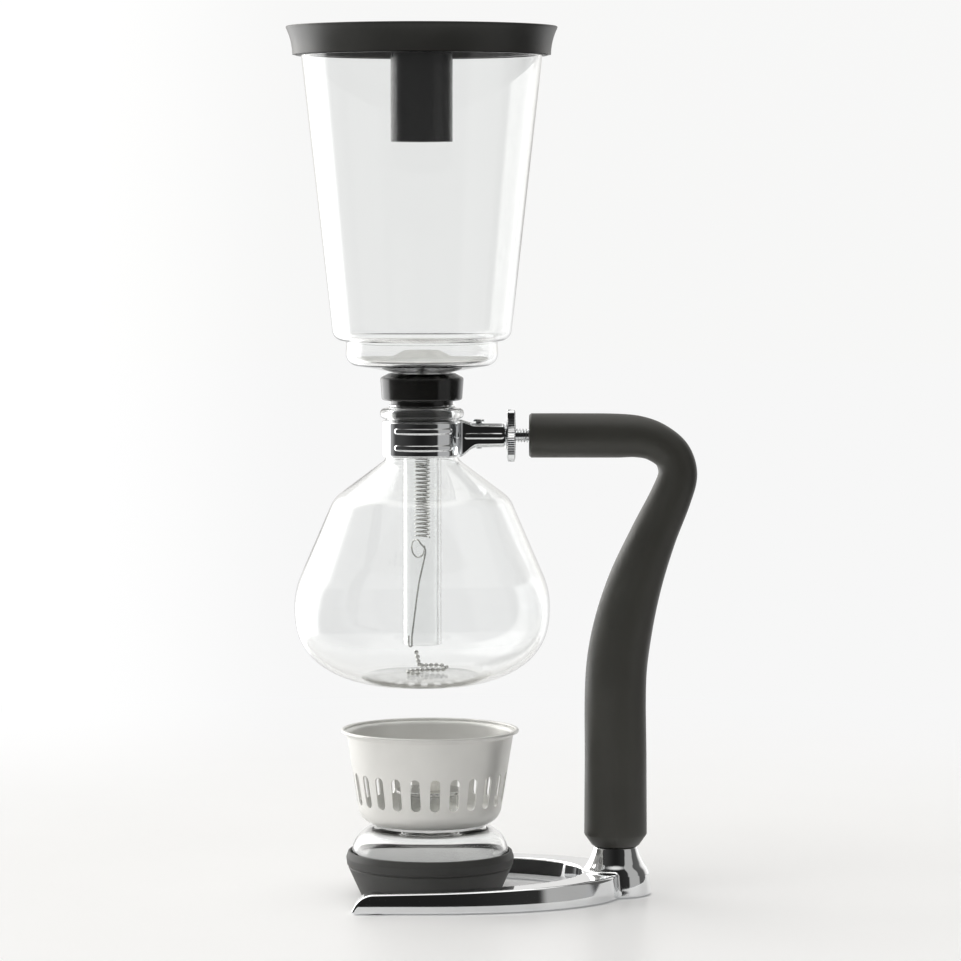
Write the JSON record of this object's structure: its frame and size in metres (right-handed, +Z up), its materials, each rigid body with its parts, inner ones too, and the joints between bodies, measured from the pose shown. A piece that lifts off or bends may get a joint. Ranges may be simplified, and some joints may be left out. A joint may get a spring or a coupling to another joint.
{
  "type": "siphon coffee maker",
  "caption": "Siphon coffee maker: covered upper glass bowl with tube and hooked filter, clamped glass flask, bent grip on a horseshoe base, and a spirit burner with a slotted wind guard.",
  "frame": {"origin": "on the table, under the centre of the whole object's box", "axes": "+Z up; the pole and grip stand at +X, the glassware at -X, and the open side of the horseshoe base looks towards -X; the object is symmetric about Y = 0"},
  "size_m": [0.1848, 0.1218, 0.3915],
  "materials": {
    "chrome": "mirror polished",
    "steel": "bright drawn",
    "glass": "clear borosilicate",
    "grip_soft": "soft-touch matte",
    "lid_plastic": "fine matte",
    "stopper_rubber": "glossy moulded",
    "burner_rubber": "matte moulded",
    "rubber_pad": "matte",
    "liner": "translucent silicone",
    "cloth": "napped cotton flannel",
    "cotton": "braided cotton",
    "guard_metal": "satin baked"
  },
  "bodies": {
    "stand": {"base": "chrome", "base_pads": "rubber_pad", "pole_bolt": "steel", "pole_washer": "steel", "pole_core": "steel", "grip": "grip_soft", "clamp_screw": "chrome", "clamp_band": "chrome", "clamp_liner": "liner", "clamp_pin": "chrome", "flask": "glass"},
    "washer": {"clamp_washer": "chrome"},
    "nut": {"thumb_nut": "chrome"},
    "upper": {"upper_bowl": "glass", "stopper": "stopper_rubber", "filter_disc": "steel", "filter_hub": "steel", "filter_cloth": "cloth", "filter_spring": "steel"},
    "hook": {"filter_hook": "steel", "bead_chain": "steel"},
    "lid": {"lid": "lid_plastic"},
    "burner": {"burner_base": "burner_rubber", "burner_glass": "glass"},
    "wick_set": {"wick_holder": "steel", "wick": "cotton"},
    "guard": {"wind_guard": "guard_metal"}
  },
  "joints": [
    {"name": "washer_travel", "type": "slide", "parent": "stand", "child": "washer", "axis": [1, 0, 0], "range_m": [0, 0.00508]},
    {"name": "nut_turn", "type": "hinge", "parent": "washer", "child": "nut", "pos_m": [0.00845, 0, 0.2082], "axis": [1, 0, 0], "range_deg": [0, 1441]},
    {"name": "upper_bowl_lift", "type": "slide", "parent": "stand", "child": "upper", "axis": [0, 0, 1], "range_m": [0, 0.13]},
    {"name": "lid_lift", "type": "slide", "parent": "upper", "child": "lid", "axis": [0, 0, 1], "range_m": [0, 0.06]},
    {"name": "hook_pull", "type": "slide", "parent": "upper", "child": "hook", "axis": [0, 0, -1], "range_m": [0, 0.006], "stiffness_N_per_m": 80, "springref_m": -0.015, "deforming": ["filter_spring", "bead_chain"]},
    {"name": "burner_slide", "type": "slide", "parent": "stand", "child": "burner", "axis": [-1, 0, 0], "range_m": [0, 0.12]},
    {"name": "guard_lift", "type": "slide", "parent": "burner", "child": "guard", "axis": [0, 0, 1], "range_m": [0, 0.02]},
    {"name": "wick_lift", "type": "slide", "parent": "burner", "child": "wick_set", "axis": [0, 0, 1], "range_m": [0, 0.022]}
  ],
  "couplings": [
    {"joint": "nut_turn", "follows": "washer_travel", "rad_per_m": 4947.4}
  ]
}
